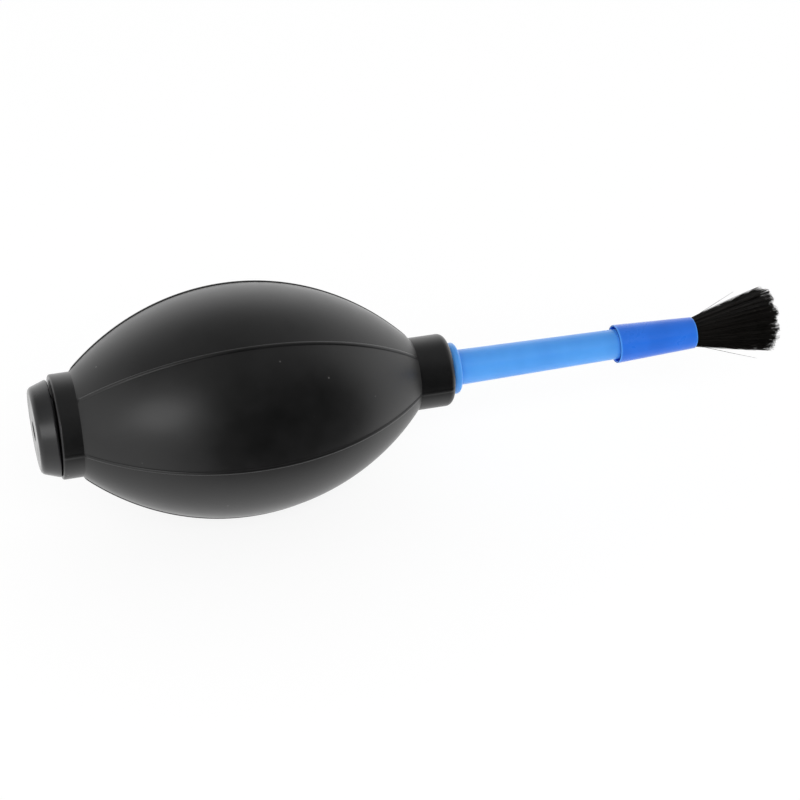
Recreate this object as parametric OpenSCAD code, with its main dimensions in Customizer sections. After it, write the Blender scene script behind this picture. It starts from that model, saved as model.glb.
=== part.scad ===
// Dust blower bulb with a push-on brush, lying on one panel.
// The long axis is X, with the brush at +X. The origin is under the middle, on the surface.
// Stations along the axis are counted from the cap's rear face.

/* [Bulb] */
// Largest radius of the bulb
bulb_r = 24.5; // [21:0.5:31]
// Radius of the arc that the bulb's side follows from end to end
bulb_arc = 52; // [43:0.5:63]
// Thickness of the rubber wall
wall = 2.6; // [1.8:0.1:3.2]
// How far the hollow sits towards the neck, which leaves the rear wall the thicker
wall_shift = 1.7; // [0:0.1:1.8]
// Radius of the collar that holds the cap
rear_collar_r = 11.1; // [10:0.1:12.5]
// Length of the collar that holds the cap
rear_collar_l = 4.4; // [3:0.1:6]
// Depth of solid rubber round the cap's spigot, collar included
rear_boss_l = 12.8; // [10:0.1:15]
// Radius of the collar that holds the nozzle
neck_r = 7.9; // [7:0.1:9]
// Length of the collar that holds the nozzle
neck_l = 8.3; // [6:0.1:11]
// Rounding of the neck collar's front edge
neck_round = 1.2; // [0.4:0.1:1.5]
// Radius of the seam bead's section
bead_r = 0.6; // [0.35:0.05:0.8]
// Height of the bead above the panel
bead_out = 0.5; // [0.2:0.05:0.6]
// How far the bulb lies turned from the middle of its lowest panel
lie_turn = 4; // [0:0.5:8]
// How far the belly panel gives way under the blower's weight, which leaves a small flat
rest_flat = 0.2; // [0.15:0.01:0.3]

/* [Squeeze] */
// Land between the pushed part and the solid rubber of the rear collar
press_land = 4.4; // [3:0.1:8]
// Land between the pushed part and the seams, on the inside at the widest place
press_rim = 1.95; // [1.7:0.05:4]
// Gap round the pushed panel
press_gap = 0.3; // [0.2:0.05:0.5]

/* [Cap and valve] */
// Step in from the collar to the cap's front edge
cap_inset = 0.7; // [0:0.1:1.5]
// Narrowing of the cap's radius from its front edge to its rear face
cap_draft = 1.4; // [0.5:0.1:2]
// Thickness of the cap
cap_t = 3.8; // [3:0.1:5]
// Rounding of the cap's rear edge
cap_round = 0.8; // [0.3:0.1:1.2]
// Gap between the cap and the collar
cap_gap = 0.6; // [0.3:0.1:1]
// Radius of the air hole
inlet_r = 2.05; // [1.5:0.05:2.4]
// Outer radius of the spigot
spigot_r = 6.6; // [6:0.1:7.5]
// Wall of the spigot
spigot_wall = 1.1; // [0.8:0.1:1.5]
// Height of the barb at the spigot's end
barb_out = 0.9; // [0.5:0.1:1.2]
// Thickness of the valve seat ring
seat_t = 1.6; // [1.2:0.1:2.2]
// Height of the seat's lip
lip_h = 0.5; // [0.3:0.1:0.8]
// Wall of the seat's lip
lip_wall = 0.8; // [0.6:0.1:1]
// Width of the air passage round the valve disc
disc_side = 1.2; // [0.8:0.1:1.5]
// How far the valve disc reaches past the lip
disc_cover = 1.1; // [0.4:0.1:1.2]
// Thickness of the valve disc
disc_t = 0.9; // [0.6:0.1:1.4]
// Lift of the valve disc
disc_lift = 0.8; // [0.5:0.1:1.2]
// Radius of the valve disc's stem
stem_r = 0.9; // [0.7:0.05:1.1]
// Thickness of the valve cage
cage_t = 1.8; // [1.4:0.1:2.4]
// Radius of each hole in the cage
cage_hole_r = 0.9; // [0.6:0.05:1]
// Number of holes in the cage
cage_holes = 6; // [4:1:7]

/* [Nozzle] */
// How far the flange stands out past the plug
flange_out = 1.1; // [0.4:0.1:1.5]
// Thickness of the flange
flange_t = 1.6; // [1.2:0.1:2.4]
// Radius of the tube at the flange
tube_root_r = 3.86; // [3.5:0.05:4.2]
// Narrowing of the tube's radius for each millimetre of length
tube_taper = 0.015; // [0.008:0.001:0.02]
// Length of bare tube between the flange and the ferrule
tube_bare_l = 36.7; // [25:0.1:50]
// Radius of the air passage
air_r = 1.7; // [1:0.1:2]
// Radius of the plug in the neck
plug_r = 4.5; // [4:0.1:5]
// Height of the barb behind the neck
plug_barb_out = 1.1; // [0.6:0.1:1.5]

/* [Brush] */
// Length of the ferrule
ferrule_l = 18.4; // [14:0.2:24]
// Gap round the tube in the ferrule's mouth
mouth_gap = 0.55; // [0.3:0.05:0.8]
// Depth of the wide recess in the ferrule's mouth
mouth_recess_l = 1.4; // [0.8:0.1:2]
// Wall at the ferrule's mouth
mouth_wall = 0.4; // [0.3:0.05:0.5]
// Length of nozzle inside the ferrule
socket_l = 10.3; // [8:0.1:11]
// Wall at the ferrule's front
front_wall = 0.4; // [0.3:0.05:0.6]
// Step in from the socket to the bore that the bristles are set in
tuft_step = 0.1; // [0.05:0.05:0.4]
// Length of the cement plug
glue_l = 4; // [2.5:0.1:5]
// Outer radius of the air tube in the brush
air_tube_r = 1.2; // [1:0.05:1.5]
// Wall of the air tube
air_tube_wall = 0.4; // [0.3:0.05:0.5]
// How far the air tube reaches past the cement
air_tube_out = 2; // [1:0.1:2.5]
// Length of bristle outside the ferrule
bristle_l = 19.6; // [12:0.1:26]
// How far the bristles splay out from the bore to the tuft's edge
tuft_splay = 4.5; // [2:0.1:6]
// Height of the tuft's domed end
tuft_dome = 2.2; // [1:0.1:3]

/* [Fits] */
// Radial clearance of parts that turn or slide in each other
run_fit = 0.05; // [0.02:0.01:0.08]
// Gap between faces that come together
face_gap = 0.1; // [0.05:0.01:0.15]

/* [Hidden] */
$fn = 96;
over = 1;
edge_round = 0.4;
axis_z = bulb_r - rest_flat;

// The panels are the sixths between the seams. Turns are counted from the near side, upwards.
panel_turn = 60;
near_high_turn = 0;
top_turn = 60;
far_high_turn = 120;
far_low_turn = 180;
belly_turn = 240;
near_low_turn = 300;

// Depth of the arc's centre on the far side of the axis, and its reach to each collar
arc_depth = bulb_arc - bulb_r;
function arc_reach(radius, r) = sqrt(pow(radius, 2) - pow(arc_depth + r, 2));
rear_reach = arc_reach(bulb_arc, rear_collar_r);
neck_reach = arc_reach(bulb_arc, neck_r);

// Stations from the cap's rear face
s_collar = cap_t + cap_gap;
s_bulb = s_collar + rear_collar_l;
s_mid = s_bulb + rear_reach;
s_neck = s_mid + neck_reach;
s_neck_end = s_neck + neck_l;
s_flange = s_neck_end + face_gap;
s_tube = s_flange + flange_t;
s_ferrule = s_tube + tube_bare_l;
s_tip = s_ferrule + socket_l;
s_ferrule_end = s_ferrule + ferrule_l;
s_end = s_ferrule_end + bristle_l;

// Inside of the bulb
s_boss = s_collar + rear_boss_l;
cavity_arc = bulb_arc - wall;
s_cavity = s_mid + wall_shift;
s_throat = s_cavity + arc_reach(cavity_arc, plug_r + run_fit);

// Pushed part of the top panel
press_l = 2 * (s_mid - s_boss - press_land);
press_w = 2 * ((bulb_r - wall) * sin(panel_turn / 2) - press_rim);
press_low = (bulb_r - wall) / 2;

// Cap and valve, inside the boss
cap_front_r = rear_collar_r - cap_inset;
cap_rear_r = cap_front_r - cap_draft;
spigot_bore_r = spigot_r - spigot_wall;
disc_r = spigot_bore_r - disc_side;
seat_hole_r = disc_r - disc_cover - lip_wall;
barb_l = 2.4;
s_spigot_end = s_boss + barb_l;
s_seat = cap_t;
s_lip = s_seat + seat_t + lip_h;
s_disc = s_lip + face_gap / 2;
s_cage = s_disc + disc_t + disc_lift + face_gap / 2;
stem_l = disc_lift + cage_t + over;
cage_hub_r = stem_r + run_fit;
cage_pitch_r = (cage_hub_r + spigot_bore_r) / 2;

// Nozzle and brush
barb_gap = 0.3;
plug_barb_l = 1.8;
plug_barb_r = plug_r + plug_barb_out;
flange_r = plug_r + flange_out;
s_barb = s_cavity + arc_reach(cavity_arc, plug_barb_r + barb_gap);
s_socket_end = s_tip + face_gap;
s_tuft = s_socket_end + glue_l;
function tube_r(s) = tube_root_r - tube_taper * (s - s_tube);
mouth_bore_r = tube_r(s_ferrule) + mouth_gap;
ferrule_mouth_r = mouth_bore_r + mouth_wall;
tuft_bore_r = tube_r(s_tip) + run_fit - tuft_step;
ferrule_front_r = tuft_bore_r + front_wall;
tuft_tip_r = tuft_bore_r + tuft_splay;

// Puts a shape on the long axis, with X counted from the cap's rear face
module on_axis() {
    translate([-s_end / 2, 0, axis_z]) children();
}

// A solid turned about the long axis, from an outline of radius against station
module turned() {
    on_axis()
        rotate([0, 90, 0])
            rotate_extrude()
                children();
}

// A straight or tapered stretch of outline from the axis out
module stretch(s0, s1, r0, r1) {
    polygon([[0, s0], [r0, s0], [r1, s1], [0, s1]]);
}

// A stretch that leaves the axis open
module sleeve(s0, s1, inner, outer) {
    translate([inner, s0]) square([outer - inner, s1 - s0]);
}

// Half of a lens between two stations, with its arc centred beyond the axis
module lens(radius, middle, s0, s1) {
    intersection() {
        translate([-arc_depth, middle]) circle(radius);
        translate([0, s0]) square([bulb_r, s1 - s0]);
    }
}

// Outline of the shell between the collars
module shell_outline() {
    difference() {
        lens(bulb_arc, s_mid, s_boss, s_neck);
        lens(cavity_arc, s_cavity, s_boss - over, s_neck + over);
    }
}

// Outline of the rear collar with the solid rubber round the cap's spigot
module rear_outline() {
    difference() {
        union() {
            lens(bulb_arc, s_mid, s_bulb - over, s_boss);
            stretch(s_collar + edge_round, s_bulb + over, rear_collar_r, rear_collar_r);
            stretch(s_collar, s_collar + edge_round, rear_collar_r - edge_round, rear_collar_r);
        }
        stretch(s_collar - over, s_boss + over, spigot_r, spigot_r);
    }
}

// Outline of the neck collar, with the hollow's end and the bore for the nozzle's plug
module neck_outline() {
    difference() {
        union() {
            stretch(s_neck, s_neck_end - neck_round, neck_r, neck_r);
            stretch(s_neck_end - neck_round, s_neck_end, neck_r - neck_round, neck_r - neck_round);
            translate([neck_r - neck_round, s_neck_end - neck_round]) circle(neck_round);
        }
        lens(cavity_arc, s_cavity, s_neck - over, s_throat);
        stretch(s_neck - over, s_neck_end + over, plug_r + run_fit, plug_r + run_fit);
    }
}

// One seam bead: a rounded section on the shell's surface, swept along its arc in the plane z = 0
module bead() {
    rear_angle = asin(rear_reach / bulb_arc);
    neck_angle = asin(neck_reach / bulb_arc);
    translate([s_mid, -arc_depth, 0])
        rotate([0, 0, 90 - neck_angle])
            rotate_extrude(angle = rear_angle + neck_angle)
                intersection() {
                    translate([bulb_arc + bead_out - bead_r, 0]) circle(bead_r);
                    translate([bulb_arc, -bead_r]) square([bead_out, 2 * bead_r]);
                }
}

// The sixth of the shell that starts at a turn, counted from the near side upwards
module panel(turn) {
    color("#242424")
        on_axis()
            rotate([lie_turn - turn, 0, 0])
                rotate([0, 90, 0])
                    rotate([0, 0, -90 - panel_turn])
                        rotate_extrude(angle = panel_turn) shell_outline();
}

// Plan of the part of the top panel that is pushed in, grown by a gap
module press_plan(gap) {
    w = press_w + 2 * gap;
    on_axis()
        rotate([lie_turn, 0, 0])
            translate([s_mid, 0, press_low])
                linear_extrude(bulb_r) {
                    square([press_l - press_w, w], center = true);
                    for (side = [-1, 1])
                        translate([side * (press_l - press_w) / 2, 0]) circle(w / 2);
                }
}

module rear_collar() {
    color("#242424") turned() rear_outline();
}

module neck_collar() {
    color("#242424") turned() neck_outline();
}

module seam_beads() {
    color("#2c2c2c")
        on_axis()
            for (turn = [0 : panel_turn : 359])
                rotate([turn + lie_turn, 0, 0]) bead();
}

module belly_panel() {
    difference() {
        panel(belly_turn);
        translate([-s_end / 2, -bulb_r, -bulb_r]) cube([s_end, 2 * bulb_r, bulb_r]);
    }
}

module top_panel() {
    difference() {
        panel(top_turn);
        press_plan(press_gap);
    }
}

module near_low_panel() {
    panel(near_low_turn);
}

module near_high_panel() {
    panel(near_high_turn);
}

module far_low_panel() {
    panel(far_low_turn);
}

module far_high_panel() {
    panel(far_high_turn);
}

module squeeze_panel() {
    color("#2a2a2a")
        intersection() {
            turned() shell_outline();
            press_plan(0);
        }
}

module intake_cap() {
    color("#1b1b1c")
        turned()
            difference() {
                union() {
                    stretch(cap_round, cap_t, cap_rear_r + cap_round / 2, cap_front_r);
                    stretch(0, cap_round, cap_rear_r - cap_round / 2, cap_rear_r + cap_round / 2);
                    stretch(cap_t, s_boss, spigot_r, spigot_r);
                    stretch(s_boss, s_spigot_end, spigot_r + barb_out, spigot_r);
                }
                stretch(-over, cap_t + over, inlet_r, inlet_r);
                stretch(s_seat, s_spigot_end + over, spigot_bore_r, spigot_bore_r);
            }
}

module valve_seat() {
    color("#d9d9d2")
        turned() {
            sleeve(s_seat, s_seat + seat_t, seat_hole_r, spigot_bore_r);
            sleeve(s_seat + seat_t, s_lip, seat_hole_r, seat_hole_r + lip_wall);
        }
}

module valve_disc() {
    color("#6e2f28")
        turned() {
            stretch(s_disc, s_disc + disc_t, disc_r, disc_r);
            stretch(s_disc + disc_t, s_disc + disc_t + stem_l, stem_r, stem_r);
        }
}

module valve_cage() {
    color("#d9d9d2")
        difference() {
            turned() sleeve(s_cage, s_cage + cage_t, cage_hub_r, spigot_bore_r);
            on_axis()
                for (i = [0 : cage_holes - 1])
                    rotate([i * 360 / cage_holes, 0, 0])
                        translate([s_cage - over, cage_pitch_r, 0])
                            rotate([0, 90, 0]) cylinder(r = cage_hole_r, h = cage_t + 2 * over);
        }
}

module nozzle() {
    flange_round = flange_t / 2;
    color("#5aa0e6")
        turned()
            difference() {
                union() {
                    stretch(s_barb, s_flange, plug_r, plug_r);
                    stretch(s_barb - plug_barb_l, s_barb, plug_r, plug_barb_r);
                    stretch(s_flange, s_tube, flange_r - flange_round, flange_r - flange_round);
                    translate([flange_r - flange_round, s_flange + flange_round])
                        circle(flange_round);
                    stretch(s_tube, s_tip, tube_r(s_tube), tube_r(s_tip));
                }
                stretch(s_barb - plug_barb_l - over, s_tip + over, air_r, air_r);
            }
}

module brush_ferrule() {
    color("#2a5fc4")
        turned()
            difference() {
                stretch(s_ferrule, s_ferrule_end, ferrule_mouth_r, ferrule_front_r);
                stretch(s_ferrule - over, s_ferrule + mouth_recess_l, mouth_bore_r, mouth_bore_r);
                stretch(s_ferrule, s_socket_end,
                        tube_r(s_ferrule) + run_fit, tube_r(s_socket_end) + run_fit);
                stretch(s_socket_end, s_ferrule_end + over, tuft_bore_r, tuft_bore_r);
            }
}

module brush_air_tube() {
    color("#c9ccd0")
        turned()
            sleeve(s_socket_end, s_tuft + air_tube_out, air_tube_r - air_tube_wall, air_tube_r);
}

module bristle_glue() {
    color("#8a6a3a")
        turned()
            sleeve(s_socket_end, s_tuft, air_tube_r, tuft_bore_r);
}

module bristle_tuft() {
    dome_r = (pow(tuft_tip_r, 2) + pow(tuft_dome, 2)) / (2 * tuft_dome);
    color("#1d1b1a")
        turned()
            difference() {
                union() {
                    stretch(s_tuft, s_ferrule_end, tuft_bore_r, tuft_bore_r);
                    stretch(s_ferrule_end, s_end - tuft_dome, tuft_bore_r, tuft_tip_r);
                    intersection() {
                        translate([0, s_end - dome_r]) circle(dome_r);
                        translate([0, s_end - tuft_dome]) square([tuft_tip_r, tuft_dome]);
                    }
                }
                stretch(s_tuft - over, s_tuft + air_tube_out, air_tube_r, air_tube_r);
            }
}

rear_collar();
neck_collar();
belly_panel();
top_panel();
near_low_panel();
near_high_panel();
far_low_panel();
far_high_panel();
squeeze_panel();
seam_beads();
intake_cap();
valve_seat();
valve_disc();
valve_cage();
nozzle();
brush_ferrule();
brush_air_tube();
bristle_glue();
bristle_tuft();
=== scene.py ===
import math

import bpy
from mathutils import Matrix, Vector


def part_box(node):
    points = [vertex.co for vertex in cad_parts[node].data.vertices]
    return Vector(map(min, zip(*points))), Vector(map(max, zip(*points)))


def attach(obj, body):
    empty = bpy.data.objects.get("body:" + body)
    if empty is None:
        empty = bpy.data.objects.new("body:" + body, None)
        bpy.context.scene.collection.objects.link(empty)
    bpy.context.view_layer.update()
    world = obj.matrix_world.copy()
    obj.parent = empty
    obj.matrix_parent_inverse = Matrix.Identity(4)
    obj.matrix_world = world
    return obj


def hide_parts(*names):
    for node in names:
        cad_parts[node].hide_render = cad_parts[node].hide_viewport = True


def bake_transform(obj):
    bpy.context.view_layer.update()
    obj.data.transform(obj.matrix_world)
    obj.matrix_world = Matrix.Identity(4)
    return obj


# A dust blower bulb with a push-on brush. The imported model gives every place; the looks are made here.
# Lengths in the dictionaries are in millimetres, and mm turns them into scene units.

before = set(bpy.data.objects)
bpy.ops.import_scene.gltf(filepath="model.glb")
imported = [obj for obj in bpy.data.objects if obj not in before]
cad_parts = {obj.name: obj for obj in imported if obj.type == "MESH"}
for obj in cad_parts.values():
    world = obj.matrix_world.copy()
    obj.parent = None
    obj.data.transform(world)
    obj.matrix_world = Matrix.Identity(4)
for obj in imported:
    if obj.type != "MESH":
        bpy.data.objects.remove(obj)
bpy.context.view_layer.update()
mm = 0.001

scene = bpy.context.scene
print("frame loaded:", len(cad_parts), "nodes")


class Wire:
    # A node's output. Arithmetic on it adds Math nodes to its tree.
    def __init__(self, graph, socket):
        self.graph = graph
        self.socket = socket

    def math(self, operation, first, second=None):
        values = [v for v in (first, second) if v is not None]
        return self.graph.add("ShaderNodeMath", {"operation": operation}, dict(enumerate(values)))

    def __add__(self, other):
        return self.math("ADD", self, other)

    def __sub__(self, other):
        return self.math("SUBTRACT", self, other)

    def __rsub__(self, other):
        return self.math("SUBTRACT", other, self)

    def __mul__(self, other):
        return self.math("MULTIPLY", self, other)

    def __truediv__(self, other):
        return self.math("DIVIDE", self, other)

    def __rtruediv__(self, other):
        return self.math("DIVIDE", other, self)

    def __pow__(self, other):
        return self.math("POWER", self, other)

    __radd__ = __add__
    __rmul__ = __mul__

    def least(self, other):
        return self.math("MINIMUM", self, other)

    def most(self, other):
        return self.math("MAXIMUM", self, other)

    def whole(self):
        return self.math("ROUND", self)

    def size(self):
        return self.math("ABSOLUTE", self)


class Graph:
    # A node tree, and the one method that adds a node to it.
    def __init__(self, tree):
        self.tree = tree

    def add(self, kind, settings=None, values=None, output=0):
        node = self.tree.nodes.new(kind)
        for name, value in (settings or {}).items():
            setattr(node, name, value)  # first, as a setting may change the sockets
        for key, value in (values or {}).items():
            self.fill(node.inputs[key], value)
        outputs = [socket for socket in node.outputs if socket.enabled]
        return Wire(self, node.outputs[output] if isinstance(output, str) else outputs[output])

    def fill(self, socket, value):
        if isinstance(value, Wire):
            self.tree.links.new(value.socket, socket)
        else:
            socket.default_value = value

    def blend(self, factor, first, second):
        # Mixes two colours by a factor.
        node = self.add("ShaderNodeMix", {"data_type": "RGBA"}).socket.node
        colourIn = [s for s in node.inputs if s.type == "RGBA"]
        self.fill(node.inputs[0], factor)
        self.fill(colourIn[0], first if isinstance(first, Wire) else (*first, 1.0))
        self.fill(colourIn[1], second if isinstance(second, Wire) else (*second, 1.0))
        return Wire(self, next(s for s in node.outputs if s.type == "RGBA"))

    def vector(self, operation, first, second, output=0):
        return self.add("ShaderNodeVectorMath", {"operation": operation}, {0: first, 1: second}, output)

    def split(self, vector):
        node = self.add("ShaderNodeSeparateXYZ", None, {0: vector}).socket.node
        return [Wire(self, socket) for socket in node.outputs]

    def ease(self, value, low, high):
        # 0 under low, 1 over high, and smooth between.
        settings = {"interpolation_type": "SMOOTHSTEP"}
        return self.add("ShaderNodeMapRange", settings, {"Value": value, "From Min": low, "From Max": high})


def newMaterial(name):
    material = bpy.data.materials.new(name)
    material.use_nodes = True
    graph = Graph(material.node_tree)
    graph.tree.nodes.clear()
    shader = graph.add("ShaderNodeBsdfPrincipled").socket.node
    end = graph.tree.nodes.new("ShaderNodeOutputMaterial")
    graph.tree.links.new(shader.outputs[0], end.inputs["Surface"])
    return material, graph, shader


def objectPlace(graph):
    return graph.add("ShaderNodeTexCoord", None, None, "Object")


def noise(graph, place, scale, detail=3.0, roughness=0.5):
    values = {"Vector": place, "Scale": scale, "Detail": detail, "Roughness": roughness}
    return graph.add("ShaderNodeTexNoise", {"noise_dimensions": "3D"}, values, "Fac")


def finishSurface(graph, shader, colour, roughness, height, strength, distance):
    # Joins what changes over the surface; the constant values are set by the caller.
    graph.fill(shader.inputs["Base Color"], colour)
    graph.fill(shader.inputs["Roughness"], roughness)
    bump = graph.add("ShaderNodeBump", None, {"Height": height, "Strength": strength, "Distance": distance})
    graph.fill(shader.inputs["Normal"], bump)


rubberLook = dict(
    dark=(0.0035, 0.0035, 0.0036), pale=(0.0075, 0.0075, 0.0077), speck=(0.07, 0.068, 0.066),
    roughness=0.36, roughnessChange=0.07,
    grain=5200, patches=60, handling=240,  # noise scales, per metre
    specksEvery=210, speckSize=0.055, dustyAreas=95, dustLow=0.52, dustHigh=0.56,
    bump=0.35, bumpDepth=0.00003, specular=0.5, refraction=1.5,
)


def bulbRubber():
    look = rubberLook
    material, graph, shader = newMaterial("bulbRubber")
    place = objectPlace(graph)
    patches = noise(graph, place, look["patches"], 4.0, 0.6)
    grain = noise(graph, place, look["grain"], 2.0, 0.55)
    handling = noise(graph, place, look["handling"], 3.0, 0.5)
    tone = graph.blend(graph.ease(patches, 0.35, 0.68), look["dark"], look["pale"])
    spots = {"Vector": place, "Scale": look["specksEvery"]}
    cells = graph.add("ShaderNodeTexVoronoi", {"feature": "F1"}, spots, "Distance")
    dusty = graph.ease(noise(graph, place, look["dustyAreas"], 1.0, 0.5), look["dustLow"], look["dustHigh"])
    speck = (1 - graph.ease(cells, look["speckSize"] * 0.5, look["speckSize"])) * dusty
    colour = graph.blend(speck, tone, look["speck"])
    rough = look["roughness"] + look["roughnessChange"] * (handling - 0.5) + 0.05 * (grain - 0.5)
    height = grain * 0.6 + handling * 0.25 + speck * 2.0
    finishSurface(graph, shader, colour, rough, height, look["bump"], look["bumpDepth"])
    shader.inputs["Specular IOR Level"].default_value = look["specular"]
    shader.inputs["IOR"].default_value = look["refraction"]
    return material


capLook = dict(
    dark=(0.008, 0.008, 0.0085), pale=(0.016, 0.016, 0.017), rub=(0.035, 0.034, 0.034), roughness=0.3,
    patches=160, grain=3800, rearFrom=0.2, rearTo=1.1,  # the colour turns paler in patches towards the rear edge
    bump=0.3, bumpDepth=0.00003,
)


def capPlastic(rearX):
    look = capLook
    material, graph, shader = newMaterial("capPlastic")
    place = objectPlace(graph)
    along = graph.split(place)[0]
    patches = noise(graph, place, look["patches"], 4.0, 0.6)
    grain = noise(graph, place, look["grain"], 2.0, 0.5)
    # Paler in patches towards the rear edge.
    edge = 1 - graph.ease(along, rearX + look["rearFrom"] * mm, rearX + look["rearTo"] * mm)
    rearPaler = edge * graph.ease(patches, 0.4, 0.7)
    tone = graph.blend(patches, look["dark"], look["pale"])
    colour = graph.blend(rearPaler * 0.6, tone, look["rub"])
    rough = look["roughness"] + 0.12 * (patches - 0.5) + 0.08 * rearPaler
    finishSurface(graph, shader, colour, rough, grain * 0.5 + patches * 0.4, look["bump"], look["bumpDepth"])
    return material


nozzleLook = dict(
    body=(0.093, 0.385, 0.95), deep=(0.075, 0.335, 0.88), roughness=0.33,
    cloud=130, drawn=(120, 2600, 2600),  # streaks drawn out along the tube
    bump=0.25, bumpDepth=0.00002, glow=0.12, glowColour=(0.4, 0.7, 1.0), glowDepth=0.0015,
)


def nozzlePlastic():
    look = nozzleLook
    material, graph, shader = newMaterial("nozzlePlastic")
    place = objectPlace(graph)
    cloud = noise(graph, place, look["cloud"], 3.0, 0.5)
    drawn = graph.add("ShaderNodeMapping", None, {"Vector": place, "Scale": look["drawn"]})
    streak = noise(graph, drawn, 1.0, 2.0, 0.5)
    colour = graph.blend(graph.ease(cloud, 0.3, 0.75), look["body"], look["deep"])
    rough = look["roughness"] + 0.08 * (cloud - 0.5) + 0.06 * (streak - 0.5)
    finishSurface(graph, shader, colour, rough, streak * 0.5 + cloud * 0.3, look["bump"], look["bumpDepth"])
    shader.inputs["Subsurface Weight"].default_value = look["glow"]
    shader.inputs["Subsurface Radius"].default_value = look["glowColour"]
    shader.inputs["Subsurface Scale"].default_value = look["glowDepth"]
    return material


ferruleLook = dict(
    body=(0.025, 0.18, 0.8), deep=(0.02, 0.155, 0.72), rim=(0.1, 0.4, 0.97), roughness=0.28, specular=0.35,
    cloud=150, fine=2400, mouthLightReach=0.5, frontLightReach=0.45,  # how far in the painted light on the thin rims reaches, in mm
    bump=0.2, bumpDepth=0.00002,
)


def ferrulePlastic(lowX, highX):
    look = ferruleLook
    material, graph, shader = newMaterial("ferrulePlastic")
    place = objectPlace(graph)
    along = graph.split(place)[0]
    cloud = noise(graph, place, look["cloud"], 3.0, 0.5)
    fine = noise(graph, place, look["fine"], 2.0, 0.5)
    # Both thin rims are painted a paler blue: painted light, standing in for light that shows through the
    # thin wall.
    mouth = 1 - graph.ease(along, lowX, lowX + look["mouthLightReach"] * mm)
    thin = mouth.most(graph.ease(along, highX - look["frontLightReach"] * mm, highX))
    tone = graph.blend(graph.ease(cloud, 0.3, 0.75), look["body"], look["deep"])
    colour = graph.blend(thin * 0.75, tone, look["rim"])
    rough = look["roughness"] + 0.08 * (cloud - 0.5)
    finishSurface(graph, shader, colour, rough, fine * 0.4 + cloud * 0.4, look["bump"], look["bumpDepth"])
    shader.inputs["Specular IOR Level"].default_value = look["specular"]
    return material


hairLook = dict(
    dark=(0.0025, 0.0023, 0.0022), pale=(0.014, 0.0125, 0.011), grey=(0.28, 0.26, 0.24), roughness=0.34,
    specular=0.25, fine=900, glintFrom=0.992, glintTo=0.996,  # only the hairs of the highest tone get the painted grey highlight
    bump=0.15, bumpDepth=0.00001,
)


def bristleHair():
    look = hairLook
    material, graph, shader = newMaterial("bristleHair")
    place = objectPlace(graph)
    tone = graph.add("ShaderNodeAttribute", {"attribute_name": "hairTone"}, None, "Fac")
    fine = noise(graph, place, look["fine"], 2.0, 0.5)
    colour = graph.blend(graph.ease(tone, 0.1, 1.0), look["dark"], look["pale"])
    # A few hairs are painted grey: a painted highlight standing in for light glinting on the glossy hairs.
    colour = graph.blend(graph.ease(tone, look["glintFrom"], look["glintTo"]), colour, look["grey"])
    rough = look["roughness"] + 0.1 * (tone - 0.5)
    finishSurface(graph, shader, colour, rough, fine, look["bump"], look["bumpDepth"])
    shader.inputs["Specular IOR Level"].default_value = look["specular"]
    return material


insideLooks = {
    "valve_seat": dict(dark=(0.5, 0.5, 0.47), pale=(0.68, 0.68, 0.64), roughness=0.45, grain=1800),
    "valve_cage": dict(dark=(0.5, 0.5, 0.47), pale=(0.68, 0.68, 0.64), roughness=0.45, grain=1800),
    "valve_disc": dict(dark=(0.2, 0.035, 0.028), pale=(0.32, 0.065, 0.05), roughness=0.6, grain=3000),
    "brush_air_tube": dict(dark=(0.45, 0.47, 0.5), pale=(0.62, 0.64, 0.67), roughness=0.35, grain=2200),
    "bristle_glue": dict(dark=(0.2, 0.11, 0.035), pale=(0.38, 0.24, 0.09), roughness=0.3, grain=900),
}


def insideMaterial(node, look):
    words = node.split("_")
    material, graph, shader = newMaterial(words[0] + "".join(w.capitalize() for w in words[1:]) + "Finish")
    place = objectPlace(graph)
    cloud = noise(graph, place, 260, 3.0, 0.5)
    grain = noise(graph, place, look["grain"], 2.0, 0.5)
    colour = graph.blend(graph.ease(cloud, 0.3, 0.7), look["dark"], look["pale"])
    rough = look["roughness"] + 0.15 * (cloud - 0.5)
    finishSurface(graph, shader, colour, rough, grain, 0.25, 0.00002)
    return material


def newGeometryTree(name, sizes):
    # sizes holds the tree's named inputs, as (name, socket type, default).
    tree = bpy.data.node_groups.new(name, "GeometryNodeTree")
    tree.interface.new_socket("Geometry", in_out="INPUT", socket_type="NodeSocketGeometry")
    for label, kind, value in sizes:
        item = tree.interface.new_socket(label, in_out="INPUT", socket_type=kind)
        if value is not None:
            item.default_value = value
    tree.interface.new_socket("Geometry", in_out="OUTPUT", socket_type="NodeSocketGeometry")
    graph = Graph(tree)
    start = tree.nodes.new("NodeGroupInput")
    inputs = {socket.name: Wire(graph, socket) for socket in start.outputs if socket.name}
    return tree, graph, inputs


def closeTree(graph, geometry, material):
    # Every tree ends in Realize Instances and Set Material.
    real = graph.add("GeometryNodeRealizeInstances", None, {"Geometry": geometry})
    made = graph.add("GeometryNodeSetMaterial", None, {"Geometry": real, "Material": material})
    end = graph.tree.nodes.new("NodeGroupOutput")
    graph.fill(end.inputs[0], made)


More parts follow.
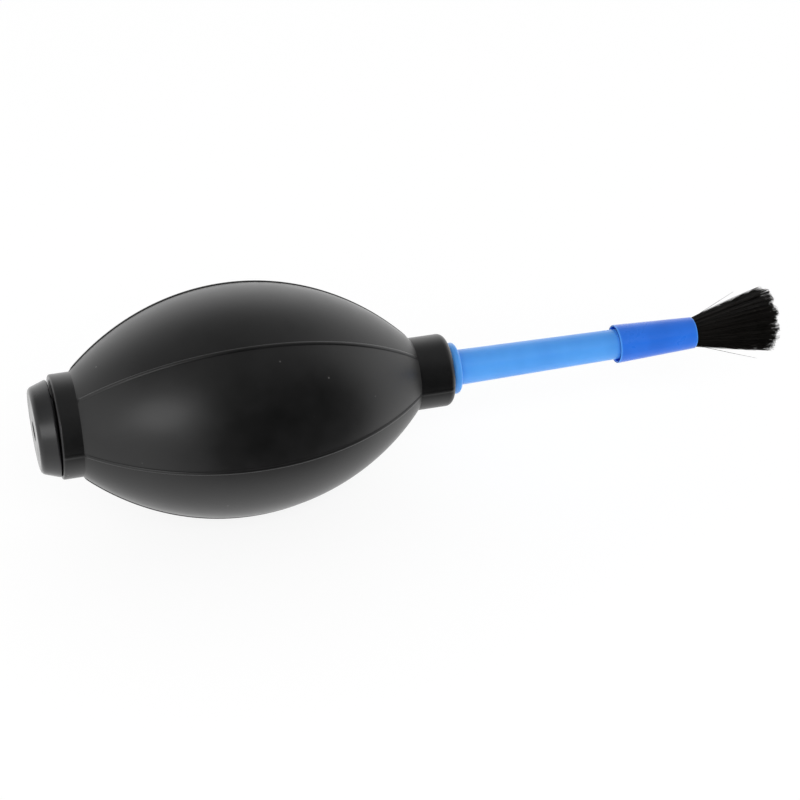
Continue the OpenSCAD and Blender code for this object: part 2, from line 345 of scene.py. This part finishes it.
def makeTurnedTree():
    sizes = [
        ("Columns", "NodeSocketInt", 96), ("Panels", "NodeSocketInt", 6),
        ("Seam Columns", "NodeSocketInt", 6),
        ("Axis Height", "NodeSocketFloat", 0.025), ("Corner Rise", "NodeSocketFloat", 0.0),
        ("Seam Half Width", "NodeSocketFloat", 0.0005), ("Seam Height", "NodeSocketFloat", 0.0),
        ("Parting Height", "NodeSocketFloat", 0.0), ("Lie", "NodeSocketFloat", 0.0),
        ("Material", "NodeSocketMaterial", None),
    ]
    tree, graph, inputs = newGeometryTree("turnedPiece", sizes)
    outline = inputs["Geometry"]
    rows = graph.add("GeometryNodeAttributeDomainSize", {"component": "MESH"}, {0: outline}, "Point Count")
    columns = inputs["Columns"]
    # A flat grid whose x counts the outline's points and whose y counts columns round the axis.
    grid = graph.add("GeometryNodeMeshGrid", None, {
        "Size X": rows * 1.0, "Size Y": columns * 1.0, "Vertices X": rows + 1, "Vertices Y": columns + 1,
    }, "Mesh")
    place = graph.split(graph.add("GeometryNodeInputPosition"))
    row = (place[0] + rows * 0.5).whole()
    column = (place[1] + columns * 0.5).whole()
    index = graph.add("ShaderNodeMath", {"operation": "MODULO"}, {0: row, 1: rows})

    def sampled(kind, value):
        settings = {"data_type": kind, "domain": "POINT"}
        values = {"Geometry": outline, "Value": value, "Index": index}
        return graph.add("GeometryNodeSampleIndex", settings, values)

    def weight(name):
        read = graph.add("GeometryNodeInputNamedAttribute", {"data_type": "FLOAT"}, {"Name": name})
        return sampled("FLOAT", read)

    station, radius, _ = graph.split(sampled("FLOAT_VECTOR", graph.add("GeometryNodeInputPosition")))
    gore, seamWeight, parting = weight("gore"), weight("seam"), weight("parting")
    # Columns crowd together at each seam, so that a narrow bead keeps its section.
    perPanel = columns / inputs["Panels"]
    seam = (column / perPanel).whole()
    signed = column - seam * perPanel
    away = signed.size()
    side = graph.add("ShaderNodeMath", {"operation": "SIGN"}, {0: signed})
    seamColumns = inputs["Seam Columns"]
    seamAngle = inputs["Seam Half Width"] / radius
    halfPanel = math.pi / inputs["Panels"]
    inSeam = (away / seamColumns).least(1.0)
    inPanel = ((away - seamColumns) / (perPanel * 0.5 - seamColumns)).most(0.0)
    offset = seamAngle * inSeam + (halfPanel - seamAngle) * inPanel
    angle = seam * halfPanel * 2.0 + side * offset - inputs["Lie"]
    # The panel rises to its corners, and the bead stands on the corner.
    toCorner = 1 - offset / halfPanel
    rise = inputs["Corner Rise"] * toCorner * toCorner
    bead = (1 - inSeam * inSeam).most(0.0) ** 0.7
    halfTurn = graph.add("ShaderNodeMath", {"operation": "MODULO"}, {0: seam, 1: inputs["Panels"] * 0.5})
    onParting = 1 - halfTurn.least(1.0)
    grown = radius + gore * rise + seamWeight * inputs["Seam Height"] * bead
    grown = grown + parting * onParting * inputs["Parting Height"] * bead
    cosine = graph.add("ShaderNodeMath", {"operation": "COSINE"}, {0: angle})
    sine = graph.add("ShaderNodeMath", {"operation": "SINE"}, {0: angle})
    # Nothing goes under the surface: the soft belly lies flat on it.
    target = graph.add("ShaderNodeCombineXYZ", None, {
        "X": station, "Y": 0 - grown * cosine, "Z": (inputs["Axis Height"] + grown * sine).most(0.0),
    })
    turned = graph.add("GeometryNodeSetPosition", None, {"Geometry": grid, "Position": target})
    merged = graph.add("GeometryNodeMergeByDistance", None, {"Geometry": turned, "Distance": 0.0000005})
    closeTree(graph, merged, inputs["Material"])
    return tree


def setInputs(modifier, tree, values):
    # Modifier inputs are set by the socket's identifier.
    names = {item.name: item.identifier for item in tree.interface.items_tree if item.in_out == "INPUT"}
    for name, value in values.items():
        modifier[names[name]] = value


def bakeTree(name, source, tree, values, sharpAngle=None):
    # Runs a tree on a source mesh and keeps the result as a plain mesh in a new object.
    holder = bpy.data.objects.new(name + "Source", source)
    scene.collection.objects.link(holder)
    modifier = holder.modifiers.new("make", "NODES")
    modifier.node_group = tree
    setInputs(modifier, tree, values)
    depsgraph = bpy.context.evaluated_depsgraph_get()
    depsgraph.update()
    mesh = bpy.data.meshes.new_from_object(holder.evaluated_get(depsgraph), depsgraph=depsgraph)
    bpy.data.objects.remove(holder)
    mesh.name = name
    piece = bpy.data.objects.new(name, mesh)
    scene.collection.objects.link(piece)
    for polygon in mesh.polygons:
        polygon.use_smooth = True
    if sharpAngle:
        mesh.set_sharp_from_angle(angle=math.radians(sharpAngle))
    return piece


def roundedOutline(corners, steps=6):
    # corners are (station, radius, rounding) in millimetres, in order round a closed outline.
    points = []
    count = len(corners)
    for i, (s, r, rounding) in enumerate(corners):
        here = Vector((s, r))
        if not rounding:
            points.append(here)
            continue
        toLast = (Vector(corners[i - 1][:2]) - here).normalized()
        toNext = (Vector(corners[(i + 1) % count][:2]) - here).normalized()
        half = toLast.angle(toNext) / 2
        reach = rounding / math.tan(half)
        centre = here + (toLast + toNext).normalized() * (rounding / math.sin(half))
        first, last = here + toLast * reach - centre, here + toNext * reach - centre
        sweep = first.angle_signed(last)
        points.append(centre + first + toLast * min(0.12, reach))
        for step in range(steps + 1):
            turn = sweep * step / steps
            points.append(centre + Vector((
                first.x * math.cos(turn) + first.y * math.sin(turn),
                first.y * math.cos(turn) - first.x * math.sin(turn))))
        points.append(centre + last + toNext * min(0.12, reach))
    return points


def outlineMesh(name, points, xStart, gore=None, seam=None, parting=None):
    # Outline points as a mesh of loose vertices: x is the station along the object, y the radius.
    mesh = bpy.data.meshes.new(name + "Outline")
    mesh.from_pydata([(xStart + p.x * mm, p.y * mm, 0) for p in points], [], [])
    for label, weights in (("gore", gore), ("seam", seam), ("parting", parting)):
        layer = mesh.attributes.new(label, "FLOAT", "POINT")
        layer.data.foreach_set("value", weights or [0.0] * len(points))
    return mesh


turnedTree = makeTurnedTree()
axisHeight = (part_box("nozzle")[0].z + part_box("nozzle")[1].z) / 2
print("turned tree made; axis at", round(axisHeight / mm, 2), "mm")


def turnedPiece(name, mesh, material, sizes, sharpAngle=30):
    values = {"Axis Height": axisHeight, "Material": material, **sizes}
    return bakeTree(name, mesh, turnedTree, values, sharpAngle)


bulb = dict(
    panelRadius=24.5, arcRadius=52.0, wall=2.6, hollowShift=1.7,
    rearCollarRadius=11.1, rearCollarLength=4.4, rearBore=6.6, bossDepth=12.8, collarEdge=0.45,
    neckRadius=7.9, neckLength=7.9, neckBore=4.55, neckRound=1.5, innerRound=0.3,
    panels=6, columnsPerPanel=44, seamColumns=6, rows=120, hollowRows=50,
    cornerRise=0.35, seamHeight=0.28, seamHalfWidth=0.45, partingHeight=0.07, seamEnd=0.6,
    lie=4,  # degrees that the bulb is rolled as it lies
    squeezeStart=11.5, squeezeEnd=24.5,  # mm from the axis, where the skin starts and ends joining the thumb
)


shellNodes = (
    "rear_collar", "neck_collar", "belly_panel", "near_low_panel", "near_high_panel",
    "top_panel", "far_high_panel", "far_low_panel", "squeeze_panel", "seam_beads",
)


def bulbOutline():
    b = bulb
    depth = b["arcRadius"] - b["panelRadius"]

    def reach(arc, r):
        return math.sqrt(arc ** 2 - (depth + r) ** 2)

    def arcPoints(arc, middle, first, last, rows):
        # Evenly spaced along the arc, from one station to another.
        start, end = math.asin((first - middle) / arc), math.asin((last - middle) / arc)
        turns = [start + (end - start) * i / rows for i in range(rows + 1)]
        return [Vector((middle + arc * math.sin(t), arc * math.cos(t) - depth)) for t in turns]

    def outer(p, low):
        return 1.0 if p.y > low else 0.0

    sBulb = b["rearCollarLength"]
    sMiddle = sBulb + reach(b["arcRadius"], b["rearCollarRadius"])
    sNeck = sMiddle + reach(b["arcRadius"], b["neckRadius"])
    sEnd = sNeck + b["neckLength"]
    side = arcPoints(b["arcRadius"], sMiddle, sBulb, sNeck, b["rows"])
    hollowArc = b["arcRadius"] - b["wall"]
    sHollow = sMiddle + b["hollowShift"]
    sThroat = sHollow + reach(hollowArc, b["neckBore"])
    hollow = arcPoints(hollowArc, sHollow, sThroat, b["bossDepth"], b["hollowRows"])
    rear = roundedOutline([
        (b["bossDepth"], b["rearBore"], 0), (0, b["rearBore"], b["innerRound"]),
        (0, b["rearCollarRadius"], b["collarEdge"]), (sBulb, b["rearCollarRadius"], 0),
    ])[:-1]
    front = roundedOutline([
        (sNeck, b["neckRadius"], 0), (sEnd, b["neckRadius"], b["neckRound"]),
        (sEnd, b["neckBore"], b["innerRound"]), (sThroat, b["neckBore"], 0),
    ])[1:-1]
    points = rear + side + front + hollow
    seam = [0.0] * len(rear)
    for p in side:
        t = min(1, (p.x - sBulb) / b["seamEnd"], (sNeck - p.x) / b["seamEnd"])
        seam.append(t * t * (3 - 2 * t))
    seam += [0.0] * (len(front) + len(hollow))
    gore = [w * (p.y / b["panelRadius"]) ** 2 for w, p in zip(seam, points)]
    parting = [outer(p, b["rearCollarRadius"] - 0.2) for p in rear] + [0.0] * len(side)
    parting += [outer(p, b["neckRadius"] - 0.5) for p in front] + [0.0] * len(hollow)
    return points, gore, seam, parting


def makeBulb():
    points, gore, seam, parting = bulbOutline()
    mesh = outlineMesh("rubberBulb", points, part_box("rear_collar")[0].x, gore, seam, parting)
    piece = turnedPiece("rubberBulb", mesh, bulbRubber(), {
        "Columns": bulb["columnsPerPanel"] * bulb["panels"], "Panels": bulb["panels"],
        "Seam Columns": bulb["seamColumns"], "Corner Rise": bulb["cornerRise"] * mm,
        "Seam Half Width": bulb["seamHalfWidth"] * mm, "Seam Height": bulb["seamHeight"] * mm,
        "Parting Height": bulb["partingHeight"] * mm, "Lie": math.radians(bulb["lie"]),
    }, 32)
    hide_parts(*shellNodes)
    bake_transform(piece)
    return piece


rubberBulb = makeBulb()
print("bulb made:", len(rubberBulb.data.polygons), "faces")


cap = dict(
    rearRadius=9.0, frontRadius=10.4, thickness=4.1, rearRound=1.3, frontRound=0.3,
    hole=2.05, holeRound=0.25, spigot=6.6, spigotBore=5.5, spigotRound=0.3,
    columns=120, tilt=1.5, drop=0.2,  # the head leans back and hangs low
)


def makeCap():
    c = cap
    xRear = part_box("intake_cap")[0].x
    spigotEnd = (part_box("intake_cap")[1].x - xRear) / mm
    points = roundedOutline([
        (0, c["hole"], c["holeRound"]), (0, c["rearRadius"], c["rearRound"]),
        (c["thickness"], c["frontRadius"], c["frontRound"]), (c["thickness"], c["spigot"], 0),
        (spigotEnd, c["spigot"], c["spigotRound"]), (spigotEnd, c["spigotBore"], c["spigotRound"]),
        (c["thickness"], c["spigotBore"], 0), (c["thickness"], c["hole"], 0),
    ])
    mesh = outlineMesh("intakeCap", points, xRear)
    piece = turnedPiece("intakeCap", mesh, capPlastic(xRear), {"Columns": c["columns"]})
    # The head sits askew, so that its gap closes towards the floor.
    lean = math.tan(math.radians(c["tilt"]))
    for vertex in piece.data.vertices:
        if vertex.co.x < xRear + (c["thickness"] + 0.01) * mm:
            vertex.co.x -= lean * (vertex.co.z - axisHeight)
            vertex.co.z -= c["drop"] * mm
    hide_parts("intake_cap")
    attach(piece, "bulb")


makeCap()


tube = dict(
    plug=4.5, plugBarb=5.6, plugBarbLength=1.8, edgeRound=0.2, barbRound=0.15, tipRound=0.25, faceGap=0.1,
    flange=5.6, flangeThickness=1.6, flangeSeat=0.35, flangeRound=0.7,
    root=3.86, taper=0.015, rootFillet=0.35, bore=1.7, columns=96,
)


def makeNozzle():
    t = tube
    low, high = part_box("nozzle")
    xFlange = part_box("neck_collar")[1].x + t["faceGap"] * mm
    plugLength = (xFlange - low.x) / mm - t["flangeSeat"]
    length = (high.x - low.x) / mm
    face = plugLength + t["flangeSeat"] + t["flangeThickness"]
    tip = t["root"] - t["taper"] * (length - face)
    points = roundedOutline([
        (0, t["bore"], t["edgeRound"]), (0, t["plug"], t["edgeRound"]),
        (t["plugBarbLength"], t["plugBarb"], t["barbRound"]),
        (t["plugBarbLength"], t["plug"], 0), (plugLength, t["plug"], 0),
        (plugLength, t["flange"], t["flangeRound"]), (face, t["flange"], t["flangeRound"]),
        (face, t["root"], t["rootFillet"]), (length, tip, t["tipRound"]), (length, t["bore"], t["edgeRound"]),
    ])
    mesh = outlineMesh("blueNozzle", points, low.x)
    piece = turnedPiece("blueNozzle", mesh, nozzlePlastic(), {"Columns": t["columns"]})
    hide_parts("nozzle")
    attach(piece, "nozzle")


ferrule = dict(
    mouth=4.26, front=3.5, mouthWall=0.4, recess=1.4, rimRound=0.15, recessRound=0.1, bristleBore=3.1,
    socketGap=0.06, columns=96,
)


def makeFerrule():
    f = ferrule
    low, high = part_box("brush_ferrule")
    length = (high.x - low.x) / mm
    nozzleEnd = (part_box("nozzle")[1].x - low.x) / mm + tube["faceGap"]
    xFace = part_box("neck_collar")[1].x + (tube["faceGap"] + tube["flangeThickness"]) * mm
    bare = (low.x - xFace) / mm

    def socket(s):
        return tube["root"] - tube["taper"] * (bare + s) + f["socketGap"]

    points = roundedOutline([
        (nozzleEnd, f["bristleBore"], 0), (nozzleEnd, socket(nozzleEnd), 0),
        (f["recess"], socket(f["recess"]), f["rimRound"]),
        (f["recess"], f["mouth"] - f["mouthWall"], f["recessRound"]),
        (0, f["mouth"] - f["mouthWall"], f["rimRound"]), (0, f["mouth"], f["rimRound"]),
        (length, f["front"], f["rimRound"]), (length, f["bristleBore"], f["rimRound"]),
    ])
    mesh = outlineMesh("blueFerrule", points, low.x)
    piece = turnedPiece("blueFerrule", mesh, ferrulePlastic(low.x, high.x), {"Columns": f["columns"]})
    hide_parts("brush_ferrule")
    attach(piece, "brush")


makeNozzle()
makeFerrule()
print("cap, nozzle and ferrule made")


tuft = dict(
    hairs=3900, strays=9, rootRadius=2.95, tipRadius=7.2, lift=0.8, dome=1.5, thickness=0.06, points=7,
    clumpAngle=0.3, clumpRings=3.6, clumping=0.36, lengthChange=1.1, seed=11,
)


def makeTuftTree():
    sizes = [
        ("Hairs", "NodeSocketInt", 1000), ("Strays", "NodeSocketInt", 10), ("Seed", "NodeSocketInt", 1),
        ("Points", "NodeSocketInt", 6),
        ("Root X", "NodeSocketFloat", 0.0), ("Tip X", "NodeSocketFloat", 0.01),
        ("Axis Height", "NodeSocketFloat", 0.025), ("Root Radius", "NodeSocketFloat", 0.003),
        ("Tip Radius", "NodeSocketFloat", 0.007), ("Dome", "NodeSocketFloat", 0.002),
        ("Thickness", "NodeSocketFloat", 0.0001), ("Clump Angle", "NodeSocketFloat", 0.3),
        ("Clump Rings", "NodeSocketFloat", 3.0), ("Clumping", "NodeSocketFloat", 0.5),
        ("Length Change", "NodeSocketFloat", 0.001), ("Mouth", "NodeSocketFloat", 0.15),
        ("Lift", "NodeSocketFloat", 0.0), ("Material", "NodeSocketMaterial", None),
    ]
    tree, graph, inputs = newGeometryTree("bristleTuft", sizes)
    seed = inputs["Seed"]
    index = graph.add("GeometryNodeInputIndex")

    def chance(low, high, salt, identity=index):
        values = {2: low, 3: high, "ID": identity, "Seed": seed + salt}
        return graph.add("FunctionNodeRandomValue", {"data_type": "FLOAT"}, values)

    def turn(angle):
        return [graph.add("ShaderNodeMath", {"operation": op}, {0: angle}) for op in ("COSINE", "SINE")]

    # Each hair's own place on the root disc, and the clump that its tip leans to.
    share = chance(0.0, 1.0, 1) ** 0.5
    angle = chance(0.0, 2 * math.pi, 2)
    ring = (share * inputs["Clump Rings"]).whole()
    sector = (angle / inputs["Clump Angle"]).whole()
    clump = (sector * 17.0 + ring * 131.0).whole()
    clumpShare = (ring / inputs["Clump Rings"] + chance(-0.1, 0.1, 5, clump)).least(1.0)
    clumpAngle = sector * inputs["Clump Angle"] + chance(-0.12, 0.12, 6, clump)
    hold = inputs["Clumping"] * chance(0.3, 1.0, 7)
    tipShare = share + (clumpShare - share) * hold + chance(-0.035, 0.035, 8)
    tipAngle = angle + (clumpAngle - angle) * hold + chance(-0.05, 0.05, 9)
    stray = graph.add("ShaderNodeMath", {"operation": "LESS_THAN"}, {0: index, 1: inputs["Strays"]})
    tipShare = tipShare + stray * chance(0.05, 0.5, 10)
    rootTurn, tipTurn = turn(angle), turn(tipAngle)
    short = inputs["Length Change"] * (chance(0.0, 1.0, 11) ** 2.0 + chance(0.0, 0.8, 12, clump))
    short = short + stray * chance(0.0, 0.004, 13)
    tipX = inputs["Tip X"] - inputs["Dome"] * tipShare * tipShare - short
    bend = chance(-0.0004, 0.0004, 14)
    bendAngle = turn(chance(0.0, 2 * math.pi, 15))

    def kept(geometry, name, value, kind="FLOAT"):
        values = {"Geometry": geometry, "Name": name, "Value": value}
        return graph.add("GeometryNodeStoreNamedAttribute", {"data_type": kind, "domain": "POINT"}, values)

    def place(x, out, radius, cosSin):
        return graph.add("ShaderNodeCombineXYZ", None, {
            "X": x, "Y": out * radius * cosSin[0], "Z": inputs["Axis Height"] + out * radius * cosSin[1],
        })

    points = graph.add("GeometryNodePoints", None, {"Count": inputs["Hairs"]})
    root = place(inputs["Root X"], share, inputs["Root Radius"], rootTurn)
    points = kept(points, "root", root, "FLOAT_VECTOR")
    tip = place(tipX, tipShare, inputs["Tip Radius"], tipTurn)
    tip = graph.vector("ADD", tip, graph.add("ShaderNodeCombineXYZ", None, {"Z": inputs["Lift"]}))
    points = kept(points, "tip", tip, "FLOAT_VECTOR")
    sag = graph.add("ShaderNodeCombineXYZ", None, {"Y": bend * bendAngle[0], "Z": bend * bendAngle[1]})
    points = kept(points, "sag", sag, "FLOAT_VECTOR")
    points = kept(points, "hairTone", chance(0.0, 1.0, 16))
    line = graph.add("GeometryNodeCurvePrimitiveLine", None, {"Start": (0, 0, 0), "End": (1, 0, 0)})
    line = graph.add("GeometryNodeResampleCurve", None, {"Curve": line, "Count": inputs["Points"]})
    hairs = graph.add("GeometryNodeInstanceOnPoints", None, {"Points": points, "Instance": line})
    hairs = graph.add("GeometryNodeRealizeInstances", None, {"Geometry": hairs})

    def read(name):
        return graph.add("GeometryNodeInputNamedAttribute", {"data_type": "FLOAT_VECTOR"}, {"Name": name})

    # Along the hair from root to tip, with a slight bow of its own.
    along = graph.add("GeometryNodeSplineParameter", None, None, "Factor")
    settings = {"data_type": "VECTOR", "factor_mode": "UNIFORM"}
    mixed = graph.add("ShaderNodeMix", settings).socket.node
    splay = ((along - inputs["Mouth"]) / (1 - inputs["Mouth"])).most(0.0)
    graph.fill(mixed.inputs[0], splay)
    vectorIn = [s for s in mixed.inputs if s.type == "VECTOR" and s.enabled]
    graph.fill(vectorIn[0], read("root"))
    graph.fill(vectorIn[1], read("tip"))
    straight = Wire(graph, next(s for s in mixed.outputs if s.enabled))
    # Across, the splay starts at the ferrule's front; along, the points are evenly spaced.
    across = graph.split(straight)
    rootX, tipX = graph.split(read("root"))[0], graph.split(read("tip"))[0]
    straight = graph.add("ShaderNodeCombineXYZ", None, {
        "X": rootX + (tipX - rootX) * along, "Y": across[1], "Z": across[2],
    })
    bow = along * (1 - along) * 4.0
    bowed = graph.add("ShaderNodeVectorMath", {"operation": "SCALE"}, {0: read("sag"), "Scale": bow})
    hairs = graph.add("GeometryNodeSetPosition", None, {
        "Geometry": hairs, "Position": graph.vector("ADD", straight, bowed),
    })
    section = graph.add("GeometryNodeCurvePrimitiveCircle", {"mode": "RADIUS"},
                        {"Resolution": 3, "Radius": inputs["Thickness"]}, "Curve")
    thin = 1 - along ** 3.0 * 0.6
    mesh = graph.add("GeometryNodeCurveToMesh", None, {
        "Curve": hairs, "Profile Curve": section, "Scale": thin, "Fill Caps": True,
    })
    closeTree(graph, mesh, inputs["Material"])
    return tree


def makeTuft():
    t = tuft
    low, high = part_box("bristle_tuft")
    mouth = (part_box("brush_ferrule")[1].x - low.x) / (high.x - low.x)
    tree = makeTuftTree()
    piece = bakeTree("bristles", bpy.data.meshes.new("bristlesStart"), tree, {
        "Hairs": t["hairs"], "Strays": t["strays"], "Seed": t["seed"], "Points": t["points"],
        "Root X": low.x, "Tip X": high.x, "Axis Height": axisHeight,
        "Root Radius": t["rootRadius"] * mm, "Tip Radius": t["tipRadius"] * mm, "Dome": t["dome"] * mm,
        "Thickness": t["thickness"] * mm, "Clump Angle": t["clumpAngle"], "Clump Rings": t["clumpRings"],
        "Clumping": t["clumping"], "Length Change": t["lengthChange"] * mm,
        "Lift": t["lift"] * mm, "Mouth": mouth, "Material": bristleHair(),
    })
    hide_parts("bristle_tuft")
    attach(piece, "brush")
    return piece


bristles = makeTuft()
print("bristles made:", len(bristles.data.polygons), "faces")


for node, look in insideLooks.items():
    material = insideMaterial(node, look)
    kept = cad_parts[node]
    if not kept.material_slots:
        kept.data.materials.append(material)
    for slot in kept.material_slots:
        slot.material = material
print("inside pieces finished")


studio = dict(
    floorSize=6.0, floorColour=(0.16, 0.16, 0.16), floorGlow=0.87, floorRoughness=0.9, floorSpecular=0.1,
    tent=1.0,
    overhead=0.34, overheadLow=0.35, overheadHigh=0.95, farEnd=1.35, back=1.45,
    openLeft=-22, openRight=66, edgeSoftness=0.2, openLow=-0.75, openHigh=0.8, openLevel=0.015,
)


softLights = {
    "frontFill": dict(
        place=(0.15, -0.9, 0.7), target=(0.03, 0, 0.02), size=(0.9, 0.6), power=4.9, reflected=False,
    ),
    "tentFront": dict(
        place=(-0.5, -0.55, 0.3), target=(-0.05, 0, 0.03), size=(0.34, 0.34), power=0.8, reflected=True,
    ),
}


def makeFloor():
    half = studio["floorSize"] / 2
    mesh = bpy.data.meshes.new("floor")
    corners = [(-half, -half, 0), (half, -half, 0), (half, half, 0), (-half, half, 0)]
    mesh.from_pydata(corners, [], [(0, 1, 2, 3)])
    piece = bpy.data.objects.new("floor", mesh)
    scene.collection.objects.link(piece)
    material, _, shader = newMaterial("paleFloor")
    shader.inputs["Base Color"].default_value = (*studio["floorColour"], 1.0)
    shader.inputs["Emission Color"].default_value = (1, 1, 1, 1)
    shader.inputs["Emission Strength"].default_value = studio["floorGlow"]
    shader.inputs["Roughness"].default_value = studio["floorRoughness"]
    shader.inputs["Specular IOR Level"].default_value = studio["floorSpecular"]
    mesh.materials.append(material)
    piece.visible_glossy = False  # so that reflections show the tent and not the floor


def makeTent():
    # A white light tent that is open, and so dark, on the side that the lens looks in from.
    s = studio
    world = bpy.data.worlds.new("lightTent")
    scene.world = world
    world.use_nodes = True
    graph = Graph(world.node_tree)
    graph.tree.nodes.clear()
    direction = graph.add("ShaderNodeTexCoord", None, None, "Generated")
    soft = s["edgeSoftness"]
    opening = 1.0
    for azimuth, turn in ((s["openLeft"], 1), (s["openRight"], -1)):
        a = math.radians(azimuth)
        side = graph.vector("DOT_PRODUCT", direction, (turn * math.cos(a), turn * math.sin(a), 0), "Value")
        opening = graph.ease(side, -soft, soft) * opening
    height = graph.split(direction)[2]
    opening = opening * graph.ease(height, s["openLow"] - soft, s["openLow"] + soft)
    opening = opening * (1 - graph.ease(height, s["openHigh"] - soft, s["openHigh"] + soft))
    overhead = graph.ease(height, s["overheadLow"], s["overheadHigh"])
    farEnd = graph.ease(graph.split(direction)[0], 0.5, 0.95)
    back = graph.ease(graph.split(direction)[1], 0.3, 0.9)
    level = (1 - overhead * (1 - s["overhead"])) * (1 + farEnd * (s["farEnd"] - 1))
    level = level * (1 + back * (s["back"] - 1))
    strength = s["tent"] * level * (1 - opening * (1 - s["openLevel"]))
    lit = graph.add("ShaderNodeBackground", None, {"Color": (1, 1, 1, 1), "Strength": strength})
    plain = graph.add("ShaderNodeBackground", None, {"Color": (1, 1, 1, 1), "Strength": 1.0})
    seen = graph.add("ShaderNodeLightPath", None, None, "Is Camera Ray")
    mixed = graph.add("ShaderNodeMixShader", None, {0: seen, 1: lit, 2: plain})
    end = graph.tree.nodes.new("ShaderNodeOutputWorld")
    graph.fill(end.inputs["Surface"], mixed)


def softLight(name, place, target, size, power, reflected):
    light = bpy.data.lights.new(name, "AREA")
    light.shape = "RECTANGLE"
    light.size, light.size_y = size
    light.energy = power
    lamp = bpy.data.objects.new(name, light)
    scene.collection.objects.link(lamp)
    lamp.location = place
    lamp.visible_glossy = reflected
    lamp.rotation_euler = (Vector(target) - Vector(place)).to_track_quat("-Z", "Y").to_euler()


view = dict(azimuth=-15.96, elevation=31.92, distance=483.0, aim=(-4.14, 0.0, 18.2), lens=100.0)


def makeCamera():
    a, e = math.radians(view["azimuth"]), math.radians(view["elevation"])
    back = Vector((math.sin(a) * math.cos(e), -math.cos(a) * math.cos(e), math.sin(e)))
    aim = Vector(view["aim"]) * mm
    camera = bpy.data.objects.new("camera", bpy.data.cameras.new("camera"))
    scene.collection.objects.link(camera)
    camera.data.lens = view["lens"]
    camera.data.clip_start = 0.01
    camera.location = aim + back * view["distance"] * mm
    camera.rotation_euler = (-back).to_track_quat("-Z", "Y").to_euler()
    scene.camera = camera


makeFloor()
makeTent()
for name, settings in softLights.items():
    softLight(name, **settings)
makeCamera()
scene.view_settings.view_transform = "Standard"
print("studio set")
